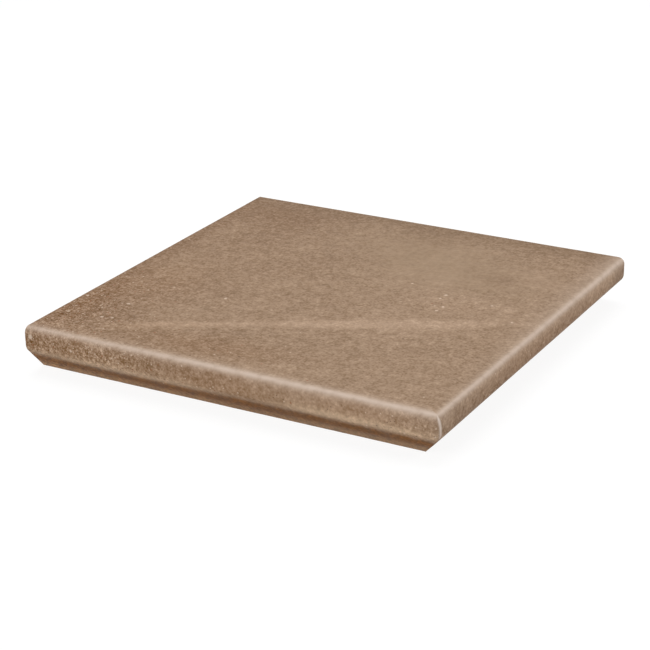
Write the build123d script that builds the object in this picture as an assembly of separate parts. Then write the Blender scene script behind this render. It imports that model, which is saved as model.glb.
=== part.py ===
# Corner stair tread tile: a square clinker slab with a drip nose along two adjoining edges.
# Each nose has a rounded top, an upright face and an underside that slopes back to a foot.
# The feet hang in front of the step's risers, and the slab's pocketed bed is laid on the step.
# Frame: origin at the middle of the plan, on the plane of the feet, with +Z up.
# The front nose faces -Y, the side nose faces +X, and they meet at the +X -Y corner.
import os

from build123d import *

# Driving dimensions, in millimetres
tile_size = 330.0        # plan size of the square, over the noses
nose_height = 37.0       # tread face down to the feet
slab_thickness = 11.0    # tread face down to the bed
face_height = 16.5       # tread face down to the lower arris of the nose
overhang = 19.0          # nose face back to the foot
foot_width = 11.0        # width of each foot, front to back
top_radius = 5.0         # rounding between the tread face and the nose face
arris_radius = 8.0       # rounding of the nose's lower arris
foot_radius = 1.0        # easing of the feet's lower edges
corner_radius = 5.0      # upright corner where the noses meet
root_radius = 6.0        # inside rounding where the feet join the slab and each other
key_pitch = 20.0         # spacing of the bed's keying pockets
key_rib = 5.0            # width of the ribs between the pockets
key_depth = 0.8          # depth of the pockets
key_border = 6.0         # plain border around the pockets, at the least

# Places worked out from them
half = tile_size / 2
inner_face = -half + overhang + foot_width
bed_height = nose_height - slab_thickness
flat_bed = half - inner_face - root_radius
bed_centre = half - flat_bed / 2

# The upright plane through the shared corner: each nose is the other's mirror image in it
mitre_plane = Plane(origin=(0, 0, 0), z_dir=(1, 1, 0))


def vertex_at(face, y, z):
    return face.vertices().sort_by_distance((0, y, z))[0]


def nose_section():
    """Section across the front nose, in the YZ plane, solid down to the feet behind it."""
    nose_top = Vector(-half, nose_height)
    arris = Vector(-half, nose_height - face_height)
    foot = Vector(-half + overhang, 0)
    outline = Polyline((half, 0), (half, nose_height), nose_top, arris, foot, close=True)
    section = Plane.YZ * make_face(outline)
    section = fillet(vertex_at(section, nose_top.X, nose_top.Y), top_radius)
    section = fillet(vertex_at(section, arris.X, arris.Y), arris_radius)
    return fillet(vertex_at(section, foot.X, foot.Y), foot_radius)


def bay_section():
    """Section of the space behind the front foot, in the YZ plane, up to the bed."""
    foot_edge = Vector(inner_face - foot_radius, 0)
    above_edge = Vector(inner_face, foot_radius)
    root = Vector(inner_face, bed_height)
    outline = Curve() + [
        TangentArc(foot_edge, above_edge, tangent=(1, 0)),
        Polyline(above_edge, root, (half, bed_height), (half, 0), foot_edge),
    ]
    section = Plane.YZ * make_face(outline)
    return fillet(vertex_at(section, root.X, root.Y), root_radius)


def corner_solid(section, outer_edge, radius):
    """Solid with one section along the front and, mitred to it, along the side.

    The section starts at outer_edge. Its first stretch, as wide as the radius, is turned about an
    upright axis at the shared corner, so that the corner is round where the mitre would be sharp.
    """
    front = extrude(section, amount=half, dir=(1, 0, 0), both=True)
    mitred = front & mirror(front, about=mitre_plane)
    axis_y = outer_edge + radius
    axis_x = -axis_y
    strip = Plane.YZ * Pos(outer_edge, 0) * Rectangle(radius, nose_height, align=(Align.MIN, Align.MIN))
    strip_at_axis = Pos(axis_x, 0, 0) * strip
    sharp_corner = extrude(strip_at_axis, amount=radius, dir=(1, 0, 0))
    section_at_axis = Pos(axis_x, 0, 0) * section
    turned_corner = revolve(
        section_at_axis & strip_at_axis,
        axis=Axis((axis_x, axis_y, 0), (0, 0, 1)),
        revolution_arc=90,
    )
    return mitred - sharp_corner + turned_corner


def key_pockets():
    """Square pockets that key the bed to its mortar, in a grid centred on the flat of the bed."""
    count = int((flat_bed - 2 * key_border + key_rib) // key_pitch)
    pocket_size = key_pitch - key_rib
    pocket = Box(pocket_size, pocket_size, 2 * key_depth)
    return Pos(-bed_centre, bed_centre, bed_height) * GridLocations(key_pitch, key_pitch, count, count) * pocket


def corner_tread():
    nosed_block = corner_solid(nose_section(), -half, corner_radius)
    bay = corner_solid(bay_section(), inner_face - foot_radius, root_radius + foot_radius)
    return nosed_block - bay - key_pockets()


tile = corner_tread()
os.makedirs("parts", exist_ok=True)
export_step(tile, "parts/corner_tread.step")
print(f"corner_tread: {tile.volume / 1000:.1f} cm3, valid {tile.is_valid}, box {tile.bounding_box().size}")
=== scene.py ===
import math

import bpy
import numpy as np
from mathutils import Matrix, Vector


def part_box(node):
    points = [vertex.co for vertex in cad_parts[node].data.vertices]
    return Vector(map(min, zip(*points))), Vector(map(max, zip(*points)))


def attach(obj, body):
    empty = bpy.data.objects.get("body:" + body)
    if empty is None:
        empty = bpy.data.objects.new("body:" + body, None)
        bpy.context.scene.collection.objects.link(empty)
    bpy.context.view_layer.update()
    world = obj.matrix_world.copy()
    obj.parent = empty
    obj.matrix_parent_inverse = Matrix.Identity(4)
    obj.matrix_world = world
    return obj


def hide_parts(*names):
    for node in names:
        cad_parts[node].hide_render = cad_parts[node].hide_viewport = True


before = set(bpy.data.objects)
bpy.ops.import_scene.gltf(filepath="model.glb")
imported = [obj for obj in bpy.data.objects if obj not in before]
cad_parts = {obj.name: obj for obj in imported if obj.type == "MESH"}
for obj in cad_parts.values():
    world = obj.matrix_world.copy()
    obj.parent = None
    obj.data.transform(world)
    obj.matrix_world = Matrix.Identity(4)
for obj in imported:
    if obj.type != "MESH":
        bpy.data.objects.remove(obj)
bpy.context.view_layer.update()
nodeLow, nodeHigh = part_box("corner_tread")
half = (nodeHigh.x - nodeLow.x) / 2  # half the side of the square
treadTop = nodeHigh.z
mm = 0.001
hair = 0.001 * mm  # a shorter length counts as none
weldStep = 0.0001 * mm  # points this close become one
print("frame loaded, tile", round(2 * half / mm), "mm square")


# Tile: shape

tileShape = {
    "faceHeight": 16.5 * mm,  # tread face to the nose's lower arris
    "overhang": 19 * mm,  # nose face back to the foot
    "footWidth": 11 * mm,
    "slab": 11 * mm,
    "topRadius": 5 * mm,
    "arrisRadius": 8 * mm,
    "footRadius": 1 * mm,
    "cornerRadius": 5 * mm,  # upright corner of the two noses, at most topRadius
    "rootRadius": 6 * mm,
    "rimRadius": 0.25 * mm,  # rounding round the two cut ends
    "keyPitch": 20 * mm,  # pockets under the slab
    "keyRib": 5 * mm,
    "keyDepth": 0.8 * mm,
    "keyBorder": 6 * mm,
    "keyDraft": 0.6 * mm,  # slope of the pocket walls
    "runStep": 1.7 * mm,  # mesh step down the nose
    "arcSteps": 8,  # mesh steps round each arc of the section
    "turnSteps": 20,  # and round the upright corner
    "rimLines": (0, 0.12, 0.45, 1.1),  # mesh lines at a cut end, in rim radii
    "borderSteps": 6,  # mesh steps over the plain border of the bed, and over each rib
    "ribSteps": 3,
    "floorLines": 8,  # mesh lines on the floor of a pocket
    "sharpAngle": 35,  # degrees between two faces, from which their edge is drawn sharp
}

footInner = tileShape["overhang"] + tileShape["footWidth"]
bedHeight = treadTop - tileShape["slab"]
bedEdge = footInner + tileShape["rootRadius"]


# A line of corner points with every inner corner swapped for an arc that touches both its runs:
# set back by radius / tan(half the corner), centred on the bisector at radius / sin(half the corner).
def roundedRun(corners, radii, arcSteps, runStep):
    corners = np.asarray(corners, float)
    pieces = [corners[:1]]
    for k in range(1, len(corners)):
        here, corner = pieces[-1][-1], corners[k]
        arcStart, arc = corner, np.zeros((0, 2))
        if k <= len(radii):
            back = (corners[k - 1] - corner) / np.linalg.norm(corners[k - 1] - corner)
            ahead = (corners[k + 1] - corner) / np.linalg.norm(corners[k + 1] - corner)
            halfAngle = math.acos(back @ ahead) / 2
            setBack = radii[k - 1] / math.tan(halfAngle)
            bisector = (back + ahead) / np.linalg.norm(back + ahead)
            centre = corner + bisector * radii[k - 1] / math.sin(halfAngle)
            arcStart, arcEnd = corner + back * setBack, corner + ahead * setBack
            sweep = math.pi - 2 * halfAngle
            t = np.linspace(0, 1, arcSteps + 1)[1:, None]
            arc = np.sin((1 - t) * sweep) * (arcStart - centre) + np.sin(t * sweep) * (arcEnd - centre)
            arc = centre + arc / math.sin(sweep)
        runLength = np.linalg.norm(arcStart - here)
        if runLength > hair:
            steps = math.ceil(runLength / runStep)
            pieces.append(here + np.linspace(0, 1, steps + 1)[1:, None] * (arcStart - here))
        if len(arc):
            pieces.append(arc)
    return np.concatenate(pieces)


# Section of the nose as (distance in from the nose face, height): round from the tread face, down the
# face, back under the nose to the foot, up its inner face and out onto the bed.
def noseProfile(shape):
    corners = [
        (shape["topRadius"], treadTop), (0, treadTop), (0, treadTop - shape["faceHeight"]),
        (shape["overhang"], 0), (footInner, 0), (footInner, bedHeight), (bedEdge, bedHeight),
    ]
    radii = [shape[key] for key in ("topRadius", "arrisRadius", "footRadius", "footRadius", "rootRadius")]
    return roundedRun(corners, radii, shape["arcSteps"], shape["runStep"])


# Shares of the way from a cut end to the shared corner at which the mesh has a line across: close
# together over the rounded rim, then at the walls of each pocket and evenly between them. With each
# share comes how far the bed is sunk there: 1 on a pocket's floor, 0 on a rib, even in between.
def linesAlong(shape):
    pitch, rib, draft = shape["keyPitch"], shape["keyRib"], shape["keyDraft"]
    length = 2 * half - bedEdge
    count = int((length - 2 * shape["keyBorder"] + rib) // pitch)
    pocket = pitch - rib
    first = (length - count * pitch + rib) / 2
    last = length - first
    floorLines = np.linspace(draft, pocket - draft, shape["floorLines"])
    ribLines = np.linspace(pocket, pitch, shape["ribSteps"] + 1)[:-1]
    pockets = first + pitch * np.arange(count)[:, None] + np.concatenate([[0], floorLines, ribLines])
    pockets = pockets.ravel()[: -len(ribLines)]
    rim = shape["rimRadius"] * np.array(shape["rimLines"])
    endBorder = np.linspace(rim[-1], first, shape["borderSteps"] + 1)[1:-1]
    noseBorder = np.linspace(last, length, shape["borderSteps"] + 1)
    lines = np.concatenate([rim, endBorder, pockets, noseBorder])
    fromMiddle = np.abs((lines - first) % pitch - pocket / 2)
    sunk = np.clip((pocket / 2 - fromMiddle) / draft, 0, 1) * (lines > first) * (lines < last)
    return lines / length, sunk


# The profile carried past both noses. A point set in by u runs along y = -half + u, turns a quarter
# circle of its own radius about a centre set in by u + radius both ways, and runs on along x = half - u.
def carriedRoundCorner(profile, radius, along, turnSteps):
    u, z, r = profile[:, :1], profile[:, 1:], radius[:, None]
    setIn = u + r
    straight = along[None, :] * (2 * half - setIn)
    angle = np.linspace(-math.pi / 2, 0, turnSteps + 1)[None, 1:-1]
    x = np.hstack([straight - half, half - setIn + r * np.cos(angle), half - u + 0 * straight])
    y = np.hstack([u - half + 0 * straight, setIn - half + r * np.sin(angle), half - straight[:, ::-1]])
    return np.stack([x, y, np.broadcast_to(z, x.shape)], axis=-1)


# Flat field between the cut ends and the lines set in from both noses, raised by rise at each point.
def flatField(setIn, z, along, rise=0.0):
    reach = along * (2 * half - setIn)
    x, y = np.meshgrid(reach - half, half - reach, indexing="ij")
    return np.stack([x, y, z + rise + 0 * x], axis=-1)


# One list of points for all patches, those that coincide made one, and each patch's ids into it
def weldPatches(patches):
    places = np.concatenate([p.reshape(-1, 3) for p in patches])
    keys = np.round(places / weldStep).astype(np.int64)
    _, first, inverse = np.unique(keys, axis=0, return_index=True, return_inverse=True)
    cuts = np.cumsum([p.shape[0] * p.shape[1] for p in patches])[:-1]
    ids = np.split(inverse.reshape(-1), cuts)
    return places[first], [i.reshape(p.shape[:2]) for i, p in zip(ids, patches)]


# Each cell of a grid of ids as its four corners in turn
def gridQuads(ids):
    return np.stack([ids[:-1, :-1], ids[1:, :-1], ids[1:, 1:], ids[:-1, 1:]], axis=-1).reshape(-1, 4)


# Quads whose corners fall together at the mitre: one pair alike leaves a triangle, two leave nothing
def splitThinQuads(quads):
    alike = quads == np.roll(quads, -1, axis=1)
    thin = alike.sum(axis=1) == 1
    keep = (alike[thin].argmax(axis=1)[:, None] + np.array([1, 2, 3])) % 4
    return quads[~alike.any(axis=1)].tolist() + np.take_along_axis(quads[thin], keep, axis=1).tolist()


# Outward direction at each point, read from a draft mesh of the same faces
def pointNormals(places, faces):
    draft = bpy.data.meshes.new("draft")
    draft.from_pydata(places.tolist(), [], faces)
    normals = np.zeros(len(places) * 3, np.float32)
    draft.vertex_normals.foreach_get("vector", normals)
    bpy.data.meshes.remove(draft)
    return normals.reshape(-1, 3).astype(float)


# Tile: uneven colour, painted light and shade, and relief of the pressed face

# Soft patches, in mm from the middle of the plan and degrees. light: paler or darker, warm: redder or
# greyer, grit: more or fewer specks and pits. What isn't given is 0
facePatches = {
    "roughCorner": {"at": (-152, -122), "reach": (42, 60), "light": -0.85, "warm": 0.55, "grit": 0.92},
    "roughNose": {"at": (-110, -167), "reach": (82, 9), "warm": 1.25, "grit": 1.0},
    "leftRim": {"at": (-167, 20), "reach": (15, 170), "light": -1.1, "warm": 0.35, "grit": 0.3},
    "rustRim": {"at": (-155, -100), "reach": (15, 62), "light": 0.1, "warm": 0.65},
    "backRim": {"at": (0, 168), "reach": (230, 26), "light": -1.0, "warm": -0.7, "grit": -0.2},
    "backLeft": {"at": (-130, 140), "reach": (60, 36), "light": -0.8, "warm": 0.3, "grit": -0.2},
    "leftShade": {"at": (-150, 30), "reach": (110, 150), "light": -0.35, "warm": 0.2, "grit": -0.18},
    "roseLeft": {"at": (-126, -45), "reach": (28, 40), "light": 0.05, "warm": 0.5, "grit": 0.2},
    "frontLeft": {"at": (-100, -125), "reach": (45, 25), "light": -0.1, "warm": 0.1, "grit": 0.1},
    "frontShade": {"at": (-30, -134), "reach": (58, 17), "turn": 6, "light": -0.55, "warm": 0.8, "grit": 0.1},
    "greyCloud": {"at": (42, 88), "reach": (78, 46), "turn": -30, "light": 0.05, "warm": -1.0, "grit": -1.3},
    "backRight": {"at": (125, 162), "reach": (55, 20), "light": -0.5, "grit": -0.35},
    "dimBack": {"at": (-75, 152), "reach": (30, 14), "light": -0.4},
    "dimLeft": {"at": (-88, -62), "reach": (26, 28), "light": -0.35},
    "dimSide": {"at": (148, -75), "reach": (18, 30), "light": -0.3},
    "dimMiddle": {"at": (-15, 72), "reach": (32, 28), "light": -0.45},
    "dimFront": {"at": (38, -105), "reach": (24, 48), "light": -0.25},
    "paleLeft": {"at": (-48, -12), "reach": (35, 35), "light": 0.25},
    "paleRight": {"at": (128, 88), "reach": (38, 22), "light": 0.28, "grit": -0.35},
    "paleMiddle": {"at": (66, 34), "reach": (22, 30), "light": 0.42},
    "midNose": {"at": (0, -168), "reach": (45, 4), "light": -0.9, "warm": 2.5, "grit": 0.1},
    # sideNose, midSide and farSide: painted light and shade on the side nose's face, paler at its top and far
    # end, darker in its middle, and redder
    "sideNose": {"at": (168, -20), "reach": (4, 150), "light": 0.7, "warm": 2.2, "grit": 0.3},
    "midSide": {"at": (168, 10), "reach": (4, 48), "light": -0.62, "warm": 0.2, "grit": 0.1},
    "farSide": {"at": (168, 122), "reach": (4, 52), "light": 1.5, "warm": 0.6},
    "paleNose": {"at": (105, -168), "reach": (62, 9), "light": 0.5, "warm": 1.3, "grit": 0.1},
    "gritNose": {"at": (150, -168), "reach": (38, 9), "light": -0.1, "grit": 0.48},
    # cornerHighlight: painted highlight by the near corner of the side nose, paler and greyer
    "cornerHighlight": {"at": (170, -157), "reach": (6, 9), "light": 0.8, "warm": -0.8},
    "gritField": {"at": (92, 22), "reach": (40, 22), "turn": 10, "light": -0.05, "warm": 0.3, "grit": 0.4},
    "smudge": {"at": (103, 78), "reach": (12, 10), "turn": 30, "light": -0.7, "warm": 0.2},
    "streak": {"at": (25, -60), "reach": (120, 6), "turn": 27.4, "light": 0.95, "grit": -0.1},
    "streakCrest": {"at": (72, -36), "reach": (60, 8), "turn": 27.4, "light": 0.9},
    "streakTail": {"at": (-72, -112), "reach": (46, 6), "turn": 28, "light": 0.75, "warm": 0.2},
}

tileRelief = {
    "swellDepth": 0.10 * mm,  # slow unevenness
    "swellCell": 34 * mm,
    "grainDepth": 0.07 * mm,  # fine stone-like relief
    "grainCell": 5.5 * mm,
    "pitDepth": 0.25 * mm,
    "pitCell": 4.2 * mm,
    "pitLevel": 0.72,  # lattice values above this sink into pits
    "gritRange": (-1.2, 1.0),  # least and most that the patches' grit comes to
    "latticeSize": 32,  # cells before the random values repeat
    "seed": 11,
}

edgeHighlightShape = {
    "frontCrest": 1.9,  # mm down the section from the tread face, where the painted highlight is brightest
    "sideCrest": (2.0, 3.7),  # at the near corner and at the far end
    "frontReach": (4.0, 2.9),  # mm, towards the tread and down the face
    "sideReach": (2.1, 2.3, 2.9),  # towards the tread, then down the face at the near corner and far end
    "fadePower": (1.4, 1.9),  # towards the tread and down the face
    "tailShare": 0.23,  # slow part of the fade down the face
    "tailReach": 7.0,
    "frontAmount": (0.71, 0.99, 1.08),  # at the left end, the middle and the near corner
    "sideAmount": 0.95,
    "haloAmount": 0.3,  # faint painted highlight on the tread along the side nose, from none at the corner
    "haloReach": 13.0,
    "uprightTurn": (45.0, 64.0),  # degrees round the near corner from the front face, high and low
    "uprightTurnDown": (4.0, 12.0),  # mm down the section for those two
    "uprightPower": 45,  # more makes the line narrower
    "uprightAmount": (2.3, 0.92),  # high and low
    "uprightAmountDown": (7.0, 20.0),
    "uprightUnder": 6.0,  # how soon the line ends under the nose
}

# Painted shade on the side nose's face, from part way down to its arris
sidePaintedShade = {
    "depth": 1.15,
    "from": 8.0,  # mm down the section
    "over": 9.0,
}

# Paler stretches of the front nose's lower arris: x and half length, mm down the section and half width
arrisPaleStretches = {
    "left": {"at": -88, "reach": 78, "down": 22.7, "spread": 4.8, "amount": 0.74},
    "right": {"at": 102, "reach": 58, "down": 19.0, "spread": 3.2, "amount": 1.0},
    # rightLip: painted light, lifting the painted shade under the right of the nose near the foot
    "rightLip": {"at": 105, "reach": 60, "down": 43.5, "spread": 7.0, "amount": 0.28},
}


# Random values on a cubic lattice, blended between the eight corners round each place by 3f^2 - 2f^3
def latticeNoise(places, cell, size, seed):
    table = np.random.default_rng(seed).random((size, size, size))
    scaled = places / cell
    base = np.floor(scaled).astype(int)
    blend = scaled - base
    blend = blend * blend * (3 - 2 * blend)
    total = np.zeros(len(places))
    for corner in np.ndindex(2, 2, 2):
        side = np.array(corner)
        i, j, k = ((base + side) % size).T
        total += np.prod(np.where(side, blend, 1 - blend), axis=1) * table[i, j, k]
    return total


# Sum of the patches, each fading as exp(-(a / long)^2 - (b / short)^2) along its own two axes
def patchSum(places, key):
    total = np.zeros(len(places))
    for patch in facePatches.values():
        turn = math.radians(patch.get("turn", 0))
        c, d = math.cos(turn), math.sin(turn)
        x, y = places[:, 0] / mm - patch["at"][0], places[:, 1] / mm - patch["at"][1]
        a, b = (c * x + d * y) / patch["reach"][0], (c * y - d * x) / patch["reach"][1]
        total += patch.get(key, 0) * np.exp(-a**2 - b**2)
    return total


# Depth of the relief: slow swell, grain and, where the face is gritty, pits. At the cut ends the rim
# rounds off by a quarter circle: radius - sqrt(radius^2 - (radius - distance)^2).
def reliefDepth(places, faced, grit, relief, rimRadius):
    size, seed = relief["latticeSize"], relief["seed"]
    swell = latticeNoise(places, relief["swellCell"], size, seed)
    grain = latticeNoise(places, relief["grainCell"], size, seed + 1)
    pits = latticeNoise(places, relief["pitCell"], size, seed + 2)
    pits = np.clip((pits - relief["pitLevel"]) / (1 - relief["pitLevel"]), 0, 1) * np.clip(grit, 0, 1)
    depth = relief["swellDepth"] * swell + relief["grainDepth"] * grain + relief["pitDepth"] * pits
    toEnd = np.minimum(places[:, 0] + half, half - places[:, 1])
    into = np.clip(1 - toEnd / rimRadius, 0, 1)
    return np.maximum(faced * depth, rimRadius * (1 - np.sqrt(1 - into**2)))


# Painted highlight along the upper edges, in place of the gloss on their roundings. Along the top
# rounding it falls off from the crest as exp(-(distance / reach)^power), and down the face a share of it
# is a slower tail, exp(-distance / reach). A painted highlight line runs down the upright corner: a power
# of the cosine between the face's outward direction on plan and the direction of the line, weaker lower
# down and none under the nose.
def paintedEdgeHighlight(places, normals, down, under, edge):
    onFront = places[:, 1] + half < half - places[:, 0]
    far = (places[:, 1] + half) / (2 * half)
    off = down - np.where(onFront, edge["frontCrest"], np.interp(far, [0, 1], edge["sideCrest"]))
    above = np.where(onFront, edge["frontReach"][0], edge["sideReach"][0])
    below = np.where(onFront, edge["frontReach"][1], np.interp(far, [0, 1], edge["sideReach"][1:]))
    away = np.abs(off)
    upward = np.exp(-((away / above) ** edge["fadePower"][0]))
    downward = (1 - edge["tailShare"]) * np.exp(-((away / below) ** edge["fadePower"][1]))
    downward += edge["tailShare"] * np.exp(-away / edge["tailReach"])
    alongFront = np.interp(places[:, 0], [-half, 0, half], edge["frontAmount"])
    pale = np.where(off < 0, upward, downward) * np.where(onFront, alongFront, edge["sideAmount"])
    halo = edge["haloAmount"] * far * np.exp(-((off / edge["haloReach"]) ** 2)) * (off < 0) * ~onFront

    level = np.hypot(normals[:, 0], normals[:, 1])
    turn = np.radians(np.interp(down, edge["uprightTurnDown"], edge["uprightTurn"]))
    facing = normals[:, 0] * np.sin(turn) - normals[:, 1] * np.cos(turn)
    facing /= np.maximum(level, 0.001)  # kept off 0, as the tread faces straight up
    upright = np.clip(facing, 0, 1) ** edge["uprightPower"] * level
    upright *= np.interp(down, edge["uprightAmountDown"], edge["uprightAmount"])
    upright *= np.clip(1 - edge["uprightUnder"] * under, 0, 1)
    return np.maximum(pale + halo * (1 - pale), upright)


# Painted shade on the side nose, deepening evenly from the middle of its face down to its arris
def sideShade(places, down, paintedShade):
    onSide = places[:, 1] + half > half - places[:, 0]
    return -paintedShade["depth"] * onSide * np.clip((down - paintedShade["from"]) / paintedShade["over"], 0, 1)


# Paleness of the lower arris: each stretch fades as exp(-(a / half length)^4 - (b / half width)^2)
def arrisPaleness(places, down):
    total = np.zeros(len(places))
    for stretch in arrisPaleStretches.values():
        a = (places[:, 0] / mm - stretch["at"]) / stretch["reach"]
        b = (down - stretch["down"]) / stretch["spread"]
        total += stretch["amount"] * np.exp(-a**4 - b**2)
    onFront = places[:, 1] + half < half - places[:, 0]
    return total * onFront


# The section carried past both noses, closed by the tread face, the bed and the two cut ends, and sunk
# along its normals by the depth of the relief
def buildTile(shape):
    profile = noseProfile(shape)
    along, sunk = linesAlong(shape)
    u = profile[:, 0]
    innerRow = u > footInner - shape["footRadius"] - hair
    turn = np.where(innerRow, bedEdge - u, np.maximum(shape["cornerRadius"] - u, 0))
    skin = carriedRoundCorner(profile, turn, along, shape["turnSteps"])
    treadFace = flatField(shape["topRadius"], treadTop, along)
    bed = flatField(bedEdge, bedHeight, along, shape["keyDepth"] * np.minimum(sunk[:, None], sunk[None, :]))
    places, (skinIds, treadIds, bedIds) = weldPatches([skin, treadFace, bed])

    # faced tread and nose first, then the bare foot, inner faces and bed, then the two cut ends
    footRow = int(np.argmax(profile[:, 1] < hair))
    faced = splitThinQuads(np.concatenate([gridQuads(skinIds[: footRow + 1]), gridQuads(treadIds.T)]))
    bare = splitThinQuads(np.concatenate([gridQuads(skinIds[footRow:]), gridQuads(bedIds)]))
    leftEnd = np.concatenate([skinIds[:, 0], bedIds[0, -2::-1], treadIds[0, :-1]])[::-1].tolist()
    backEnd = np.concatenate([skinIds[:, -1], bedIds[-2::-1, 0], treadIds[:-1, 0]]).tolist()

    # marks for relief and finish: mm down the section from the tread face, share of the way under the nose
    down, under, isFaced = np.zeros((3, len(places)))
    fromTop = np.concatenate([[0], np.cumsum(np.linalg.norm(np.diff(profile, axis=0), axis=1))])
    slope = np.array([shape["overhang"], shape["faceHeight"] - treadTop])
    share = np.clip((profile - [0, treadTop - shape["faceHeight"]]) @ slope / (slope @ slope), 0, 1)
    fromNose = np.minimum(places[:, 1] + half, half - places[:, 0])
    down[treadIds] = (shape["topRadius"] - fromNose[treadIds]) / mm
    down[skinIds] = fromTop[:, None] / mm
    under[skinIds[: footRow + 1]] = share[: footRow + 1, None]
    isFaced[treadIds] = 1
    isFaced[skinIds[:footRow]] = 1

    normals = pointNormals(places, faced + bare)
    grit = np.clip(patchSum(places, "grit"), *tileRelief["gritRange"])
    depth = reliefDepth(places, isFaced, grit, tileRelief, shape["rimRadius"])
    marks = {
        # pale: painted highlight along the upper edges, on the tread beside the side nose and down the
        # upright corner
        "pale": paintedEdgeHighlight(places, normals, down, under, edgeHighlightShape),
        "arrisPale": arrisPaleness(places, down),
        "under": under,
        # light: the patches' tone, painted light and shade on the side nose among them, plus the painted
        # shade of sideShade
        "light": patchSum(places, "light") + sideShade(places, down, sidePaintedShade),
        "warm": patchSum(places, "warm"),
        "grit": grit,
    }

    mesh = bpy.data.meshes.new("cornerTread")
    mesh.from_pydata((places - normals * depth[:, None]).tolist(), [], faced + bare + [leftEnd, backEnd])
    count = np.arange(len(mesh.polygons))
    mesh.polygons.foreach_set("material_index", (count >= len(faced)).astype(np.int32))
    mesh.polygons.foreach_set("use_smooth", count < len(faced) + len(bare))
    for name, values in marks.items():
        mesh.attributes.new(name, "FLOAT", "POINT").data.foreach_set("value", values.astype(np.float32))
    mesh.set_sharp_from_angle(angle=math.radians(shape["sharpAngle"]))
    mesh.update()
    tile = bpy.data.objects.new("corner_tread_tile", mesh)
    bpy.context.scene.collection.objects.link(tile)
    triangles = sum(len(p.vertices) - 2 for p in mesh.polygons)
    print("tile built,", len(mesh.vertices), "points,", triangles, "triangles")
    return tile


# Finishes: node helpers

# A node with its settings, its inputs given as values or as sockets to link
def addNode(tree, kind, inputs=None, **settings):
    node = tree.nodes.new(kind)
    for name, value in settings.items():
        setattr(node, name, value)
    for key, value in (inputs or {}).items():
        if isinstance(value, bpy.types.NodeSocket):
            tree.links.new(value, node.inputs[key])
        else:
            node.inputs[key].default_value = value
    return node


def mathNode(tree, operation, a, b=0.0, c=0.0, clamp=False):
    node = addNode(tree, "ShaderNodeMath", {0: a, 1: b, 2: c}, operation=operation, use_clamp=clamp)
    return node.outputs[0]


def vectorNode(tree, operation, inputs, output=0):
    return addNode(tree, "ShaderNodeVectorMath", inputs, operation=operation).outputs[output]


def mapRange(tree, value, fromLow, fromHigh, toLow=0.0, toHigh=1.0):
    inputs = {"Value": value, "From Min": fromLow, "From Max": fromHigh, "To Min": toLow, "To Max": toHigh}
    return addNode(tree, "ShaderNodeMapRange", inputs, interpolation_type="SMOOTHSTEP").outputs[0]


def mixColour(tree, factor, a, b, clamp=True):
    node = addNode(tree, "ShaderNodeMix", {0: factor, 6: a, 7: b}, data_type="RGBA", clamp_factor=clamp)
    return node.outputs[2]


def shifted(tree, coords, shift):
    return addNode(tree, "ShaderNodeMapping", {"Vector": coords, "Location": shift}).outputs[0]


# Noise of one layer, 0 to 1 about a middle of 0.5, shifted where the layer gives a shift
def noiseAt(tree, coords, layer):
    if "shift" in layer:
        coords = shifted(tree, coords, layer["shift"])
    inputs = {
        "Vector": coords, "Scale": 1 / layer["size"], "Detail": layer["detail"], "Roughness": layer["rough"],
        "Distortion": layer.get("warp", 0.0),
    }
    return addNode(tree, "ShaderNodeTexNoise", inputs).outputs["Fac"]


# amount times the noise about its middle of 0.5
def swing(tree, noise, amount):
    return mathNode(tree, "MULTIPLY", mathNode(tree, "SUBTRACT", noise, 0.5), amount)


# 1 + share times the value
def onePlus(tree, value, share):
    return mathNode(tree, "MULTIPLY_ADD", value, share, 1.0)


def readMark(tree, name):
    return addNode(tree, "ShaderNodeAttribute", attribute_name=name).outputs["Fac"]


# A colour as it is seen on screen, 0 to 255, to the linear values that the shader takes
def screenColour(red, green, blue):
    c = np.array([red, green, blue]) / 255
    linear = np.where(c <= 0.04045, c / 12.92, ((c + 0.055) / 1.055) ** 2.4)
    return (*linear.tolist(), 1.0)


def principled(name, specular):
    material = bpy.data.materials.new(name)
    material.use_nodes = True
    tree = material.node_tree
    shader = tree.nodes["Principled BSDF"]
    shader.inputs["Specular IOR Level"].default_value = specular
    return material, tree, shader


# Fine relief of the finish, felt by the light alone
def addBump(tree, shader, height, look):
    inputs = {"Strength": look["bumpStrength"], "Distance": look["bumpDepth"], "Height": height}
    tree.links.new(addNode(tree, "ShaderNodeBump", inputs).outputs[0], shader.inputs["Normal"])


# Finish of the tread and noses

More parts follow.
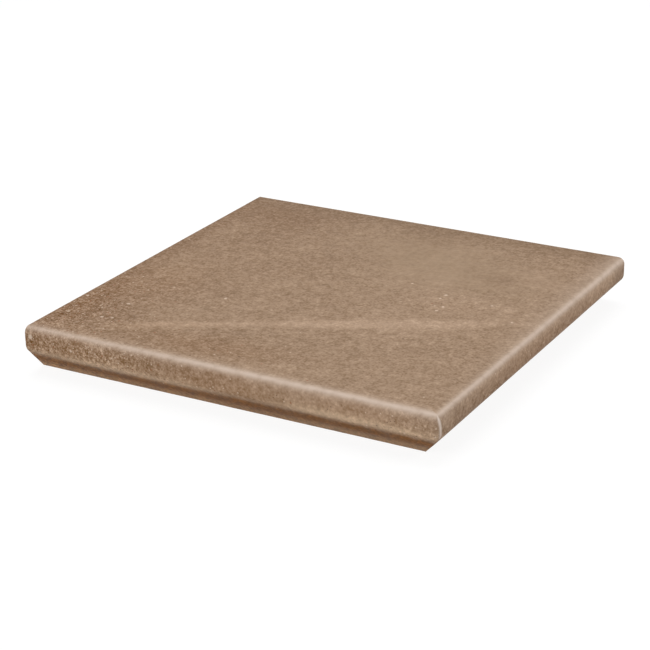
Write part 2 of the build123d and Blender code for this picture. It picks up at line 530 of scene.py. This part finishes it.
treadFinish = {
    "deepTaupe": screenColour(139, 113, 90),
    "taupe": screenColour(156, 130, 106),
    "paleTaupe": screenColour(175, 148, 124),
    "warmTint": (1.05, 0.97, 0.885),
    "warmShare": 0.62,  # share of the tint for each 1 of a patch's warm
    "coolTint": (0.985, 1.012, 1.0),
    "coolShare": 0.8,
    "grainTint": (0.34, 0.27, 0.215),  # added or taken away by the grain
    "coarseByGrit": 0.45,  # how much stronger mottle and grain are where grit is 1
    "sandByGrit": 0.8,
    "leastSand": 0.2,
    "grainSkew": 0.4,  # lifts the pale grains over the dark ones
    # colour of the painted edge highlight
    "edgeHighlightColour": screenColour(207, 187, 171),
    "edgeBreaks": (0.25, 0.6),  # mottle values where the painted edge highlight is at its least, and whole
    "leastEdge": 0.75,
    "arrisPaleColour": screenColour(197, 169, 141),
    "arrisPaleGrain": 0.65,
    # painted shade under the nose, dark brown, and its paler end towards the foot
    "underNoseShade": screenColour(122, 81, 43),
    "lip": screenColour(177, 140, 106),
    "underFrom": (0.06, 0.38),  # share of the way under the nose where its painted shade starts and is whole
    "lipFrom": (0.5, 0.93),
    "underWander": 0.2,
    "underGrain": 1.3,
    "paleSpeck": screenColour(214, 192, 172),
    "rustSpeck": screenColour(148, 96, 66),
    "darkSpeck": screenColour(96, 72, 55),
    "speckBase": 0.02,  # grit added everywhere, for stray specks
    "speckCover": 2.5,  # how soon they end towards the pale edges and under the nose
    "roughness": (0.47, 0.65),
    "roughnessMottle": (0.2, 0.8),  # mottle values for those two
    "specular": 0.06,
    "bumpStrength": 0.4,
    "bumpDepth": 0.25 * mm,
}

faceNoise = {
    "cloud": {"size": 55 * mm, "detail": 3, "rough": 0.55, "warp": 0.3, "amount": 1.7},
    "mottle": {"size": 9 * mm, "detail": 3, "rough": 0.55, "amount": 0.62},
    "grain": {"size": 3.4 * mm, "detail": 2, "rough": 0.5, "shift": (0.3, 0.1, 0.2), "amount": 0.82},
    "sand": {"size": 1.75 * mm, "detail": 1, "rough": 0.5, "shift": (0.7, 0.4, 0.6), "amount": 0.76},
    "fineGrit": {"size": 0.95 * mm, "detail": 1, "rough": 0.5, "shift": (0.2, 0.8, 0.5), "amount": 1.55},
}

speckKinds = {
    "paleSpeck": {
        "spacing": 2.8 * mm, "radius": 0.9 * mm, "shift": (0.11, 0.27, 0.05),
        "share": 0.5, "strength": 0.75,
    },
    "rustSpeck": {
        "spacing": 3.2 * mm, "radius": 1.1 * mm, "shift": (0.31, 0.37, 0.05),
        "share": 0.55, "strength": 0.65,
    },
    "darkSpeck": {
        "spacing": 2.6 * mm, "radius": 1.0 * mm, "shift": (0.51, 0.47, 0.05),
        "share": 0.5, "strength": 0.65,
    },
}

speckForm = {
    "least": 0.4,  # smallest and largest speck, as shares of the radius
    "most": 1.1,
    "core": 0.45,  # share of a speck's own radius inside which it is whole
}

# Single pale grains: place in mm from the middle of the feet's plane, and radius in mm
paleGrains = {
    "grains": [
        ((-160.3, -165, 30.3), 2.5), ((-125, -165, 26), 1.4), ((-155, -125, 37), 1.5),
        ((-161, -93, 37), 1.8), ((-127, -123, 37), 1.8), ((-119, -121, 37), 1.5), ((-124, -93, 37), 1.9),
        ((-66, -51, 37), 1.7), ((43, 40, 37), 1.3), ((76, 30, 37), 1.9), ((75, 22, 37), 1.3),
        ((84, 8, 37), 1.5), ((83, -1, 37), 1.6), ((115, 26, 37), 1.4), ((141, 3, 37), 1.4),
    ],
    "core": 0.4,  # share of the radius inside which a grain is whole
    "warp": 1.6 * mm,  # raggedness of the rims
    "warpSize": 1.2 * mm,
    "strength": 0.8,
}


# Specks in random cells: 1 inside a speck, 0 outside, in more cells where more is given, each with a
# radius between the least and the most
def specks(tree, coords, kind, form, more):
    cells = addNode(tree, "ShaderNodeTexVoronoi", {"Vector": coords, "Scale": 1 / kind["spacing"]})
    pick = addNode(tree, "ShaderNodeSeparateColor", {"Color": cells.outputs["Color"]}).outputs
    radius = kind["radius"] / kind["spacing"]
    spread = form["most"] - form["least"]
    rim = mathNode(tree, "MULTIPLY_ADD", pick[1], spread * radius, form["least"] * radius)
    inside = mapRange(tree, cells.outputs["Distance"], rim, mathNode(tree, "MULTIPLY", rim, form["core"]))
    return mathNode(tree, "MULTIPLY", inside, mathNode(tree, "LESS_THAN", pick[0], more))


# 1 inside any of the single grains, 0 outside, their rims roughened by a fine warp of the coordinates
def singleGrains(tree, coords, kind):
    fine = addNode(tree, "ShaderNodeTexNoise", {"Vector": coords, "Scale": 1 / kind["warpSize"]})
    warp = {0: fine.outputs["Color"], 1: (kind["warp"],) * 3, 2: coords}
    warped = vectorNode(tree, "MULTIPLY_ADD", warp)
    total = 0.0
    for place, radius in kind["grains"]:
        centre = tuple(c * mm + kind["warp"] / 2 for c in place)
        away = vectorNode(tree, "DISTANCE", {0: warped, 1: centre}, "Value")
        inside = mapRange(tree, away, radius * mm, kind["core"] * radius * mm)
        total = mathNode(tree, "MAXIMUM", inside, total)
    return total


def treadMaterial(look):
    material, tree, shader = principled("matt_taupe_face", look["specular"])
    coords = addNode(tree, "ShaderNodeTexCoord").outputs["Object"]
    noise = {name: noiseAt(tree, coords, layer) for name, layer in faceNoise.items()}
    swings = {name: swing(tree, noise[name], layer["amount"]) for name, layer in faceNoise.items()}
    mottle = noise["mottle"]
    pale, arrisPale, under = readMark(tree, "pale"), readMark(tree, "arrisPale"), readMark(tree, "under")
    light, warm, grit = readMark(tree, "light"), readMark(tree, "warm"), readMark(tree, "grit")

    # base: deep to pale taupe by the patches and slow clouds, a little redder or greyer in places
    tone = mathNode(tree, "ADD", light, swings["cloud"])
    colour = mixColour(tree, mathNode(tree, "ADD", tone, 1.0, clamp=True), look["deepTaupe"], look["taupe"])
    colour = mixColour(tree, mathNode(tree, "ADD", tone, 0.0, clamp=True), colour, look["paleTaupe"])
    for tint, share in (("warmTint", look["warmShare"]), ("coolTint", -look["coolShare"])):
        changed = vectorNode(tree, "MULTIPLY", {0: colour, 1: look[tint]})
        colour = mixColour(tree, mathNode(tree, "MULTIPLY", warm, share, clamp=True), colour, changed)

    # grain: the swings of mottle, grain, sand and fine grit, each the stronger where the face is gritty,
    # the fine grit only there. The sum times 1 + skew of itself favours the pale grains
    coarse = mathNode(tree, "ADD", swings["mottle"], swings["grain"])
    coarse = mathNode(tree, "MULTIPLY", coarse, onePlus(tree, grit, look["coarseByGrit"]))
    sandy = mathNode(tree, "MAXIMUM", onePlus(tree, grit, look["sandByGrit"]), look["leastSand"])
    gritty = mathNode(tree, "MAXIMUM", grit, 0.0)
    grains = mathNode(tree, "MULTIPLY_ADD", swings["sand"], sandy, coarse)
    grains = mathNode(tree, "MULTIPLY_ADD", swings["fineGrit"], gritty, grains)
    grains = mathNode(tree, "MULTIPLY", grains, onePlus(tree, grains, look["grainSkew"]))
    colour = vectorNode(tree, "MULTIPLY_ADD", {0: grains, 1: look["grainTint"], 2: colour})

    # painted highlight along the upper edges and the upright corner, broken up by the mottle
    whole = mapRange(tree, mottle, *look["edgeBreaks"], look["leastEdge"])
    paintedHighlight = mathNode(tree, "MULTIPLY", pale, whole)
    colour = mixColour(tree, paintedHighlight, colour, look["edgeHighlightColour"], clamp=False)

    # painted shade under the nose: dark brown below the arris, paler again towards the foot
    wander = mathNode(tree, "ADD", under, swing(tree, mottle, look["underWander"]))
    shade = mixColour(tree, mapRange(tree, wander, *look["lipFrom"]), look["underNoseShade"], look["lip"])
    shade = vectorNode(tree, "SCALE", {0: shade, "Scale": onePlus(tree, grains, look["underGrain"])})
    colour = mixColour(tree, mapRange(tree, wander, *look["underFrom"]), colour, shade)

    # paler stretches of the lower arris, and painted light near the foot on the right
    grainyArrisPale = onePlus(tree, grains, look["arrisPaleGrain"])
    arrisPaleTint = vectorNode(tree, "SCALE", {0: look["arrisPaleColour"][:3], "Scale": grainyArrisPale})
    colour = mixColour(tree, arrisPale, colour, arrisPaleTint)

    # specks of pale grit, rust and dark grog, none on the painted edge highlights or in the painted shade
    # under the nose
    covered = mathNode(tree, "MULTIPLY", mathNode(tree, "ADD", pale, under), look["speckCover"])
    speckled = mathNode(tree, "SUBTRACT", 1.0, covered, clamp=True)
    amount = mathNode(tree, "MAXIMUM", mathNode(tree, "ADD", grit, look["speckBase"]), 0.0)
    amount = mathNode(tree, "MULTIPLY", amount, speckled)
    for name, kind in speckKinds.items():
        more = mathNode(tree, "MULTIPLY", amount, kind["share"])
        mask = specks(tree, shifted(tree, coords, kind["shift"]), kind, speckForm, more)
        colour = mixColour(tree, mathNode(tree, "MULTIPLY", mask, kind["strength"]), colour, look[name])
    single = mathNode(tree, "MULTIPLY", singleGrains(tree, coords, paleGrains), paleGrains["strength"])
    colour = mixColour(tree, single, colour, look["paleSpeck"])
    tree.links.new(colour, shader.inputs["Base Color"])

    roughness = mapRange(tree, mottle, *look["roughnessMottle"], *look["roughness"])
    tree.links.new(roughness, shader.inputs["Roughness"])
    addBump(tree, shader, grains, look)
    return material


# Bare clay of the cut ends, feet, inner faces and bed

bareBody = {
    "clay": screenColour(165, 136, 110),
    "darkClay": screenColour(138, 108, 84),
    "dust": screenColour(190, 170, 148),
    "roughness": 0.85,
    "specular": 0.12,
    "bumpStrength": 0.5,
    "bumpDepth": 0.3 * mm,
}

# Laid over the dark clay in turn, each in its colour, between two values of its noise up to its amount
bareNoise = {
    "cloud": {
        "size": 45 * mm, "detail": 3, "rough": 0.6,
        "colour": "clay", "from": (0.3, 0.7), "amount": 1.0,
    },
    "dust": {
        "size": 14 * mm, "detail": 4, "rough": 0.6,
        "colour": "dust", "from": (0.5, 0.75), "amount": 0.5,
    },
    "sand": {
        "size": 1.1 * mm, "detail": 3, "rough": 0.65,
        "colour": "darkClay", "from": (0.55, 0.8), "amount": 0.6,
    },
}


def bareMaterial(look):
    material, tree, shader = principled("bare_fired_clay", look["specular"])
    coords = addNode(tree, "ShaderNodeTexCoord").outputs["Object"]
    noise = {name: noiseAt(tree, coords, layer) for name, layer in bareNoise.items()}
    colour = look["darkClay"]
    for name, layer in bareNoise.items():
        share = mapRange(tree, noise[name], *layer["from"], 0.0, layer["amount"])
        colour = mixColour(tree, share, colour, look[layer["colour"]])
    tree.links.new(colour, shader.inputs["Base Color"])
    shader.inputs["Roughness"].default_value = look["roughness"]
    addBump(tree, shader, noise["sand"], look)
    return material


tile = buildTile(tileShape)
tile.data.materials.append(treadMaterial(treadFinish))
tile.data.materials.append(bareMaterial(bareBody))
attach(tile, "root")
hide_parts("corner_tread")
print("finishes made")


# Studio

studio = {
    "floorSize": 24.0,
    "floorColour": (0.78, 0.78, 0.78, 1.0),  # pale, as it throws light back
    "floorSeen": (0.15, 0.15, 0.15, 1.0),  # its lit share where the camera sees it
    "floorGlow": 0.895,  # white added to that share
    "worldLight": 0.34,
}

lamps = {
    "overhead": {"place": (-0.15, 0.25, 1.7), "size": 1.6, "watts": 17},
    "frontFill": {"place": (-0.5, -1.9, 0.9), "size": 1.3, "watts": 15.5},
    "sideFill": {"place": (1.5, 1.1, 0.7), "size": 1.0, "watts": 11},
}

cameraView = {
    "place": (0.64626, -1.1743, 0.55955),
    "pitchDown": 22.305,  # degrees
    "turn": 29.2156,
    "roll": -0.693,
    "lens": 106.679,
    "sensor": 36.0,
}


# 1 for rays that show the background: straight from the camera, or seen in gloss or glass
def backgroundRay(tree):
    path = addNode(tree, "ShaderNodeLightPath")
    seen = mathNode(tree, "MAXIMUM", path.outputs["Is Camera Ray"], path.outputs["Is Glossy Ray"])
    return mathNode(tree, "MAXIMUM", seen, path.outputs["Is Transmission Ray"])


def makeFloor(s):
    mesh = bpy.data.meshes.new("floor")
    edge = s["floorSize"] / 2
    corners = [(-edge, -edge, 0), (edge, -edge, 0), (edge, edge, 0), (-edge, edge, 0)]
    mesh.from_pydata(corners, [], [(0, 1, 2, 3)])
    floor = bpy.data.objects.new("floor", mesh)
    bpy.context.scene.collection.objects.link(floor)
    material = bpy.data.materials.new("pale_floor")
    material.use_nodes = True
    tree = material.node_tree
    tree.nodes.remove(tree.nodes["Principled BSDF"])
    seen = backgroundRay(tree)
    colour = mixColour(tree, seen, s["floorColour"], s["floorSeen"])
    paint = addNode(tree, "ShaderNodeBsdfDiffuse", {"Color": colour})
    strength = mathNode(tree, "MULTIPLY", seen, s["floorGlow"])
    glow = addNode(tree, "ShaderNodeEmission", {"Color": (1, 1, 1, 1), "Strength": strength})
    both = addNode(tree, "ShaderNodeAddShader", {0: paint.outputs[0], 1: glow.outputs[0]})
    tree.links.new(both.outputs[0], tree.nodes["Material Output"].inputs["Surface"])
    mesh.materials.append(material)


def makeWorld(s):
    world = bpy.data.worlds.new("studio")
    bpy.context.scene.world = world
    world.use_nodes = True
    tree = world.node_tree
    strength = addNode(tree, "ShaderNodeMix", {0: backgroundRay(tree), 2: s["worldLight"], 3: 1.0})
    tree.links.new(strength.outputs[0], tree.nodes["Background"].inputs["Strength"])
    tree.nodes["Background"].inputs["Color"].default_value = (1, 1, 1, 1)


# A square lamp turned to the middle of the tile
def makeLamp(name, s):
    light = bpy.data.lights.new(name, "AREA")
    light.shape = "SQUARE"
    light.size = s["size"]
    light.energy = s["watts"]
    lamp = bpy.data.objects.new(name, light)
    bpy.context.scene.collection.objects.link(lamp)
    lamp.location = s["place"]
    lamp.rotation_mode = "QUATERNION"
    lamp.rotation_quaternion = (-Vector(s["place"])).to_track_quat("-Z", "Y")


# Turned about the upright axis, tipped down from level, then rolled about its own line of sight
def makeCamera(s):
    data = bpy.data.cameras.new("camera")
    data.sensor_fit = "HORIZONTAL"
    data.sensor_width = s["sensor"]
    data.lens = s["lens"]
    camera = bpy.data.objects.new("camera", data)
    bpy.context.scene.collection.objects.link(camera)
    turn = Matrix.Rotation(math.radians(s["turn"]), 4, "Z")
    pitch = Matrix.Rotation(math.radians(90 - s["pitchDown"]), 4, "X")
    roll = Matrix.Rotation(math.radians(s["roll"]), 4, "Z")
    camera.matrix_world = Matrix.Translation(s["place"]) @ turn @ pitch @ roll
    bpy.context.scene.camera = camera


makeFloor(studio)
makeWorld(studio)
for lampName, lampSettings in lamps.items():
    makeLamp(lampName, lampSettings)
makeCamera(cameraView)
bpy.context.scene.view_settings.view_transform = "Standard"
print("studio set")
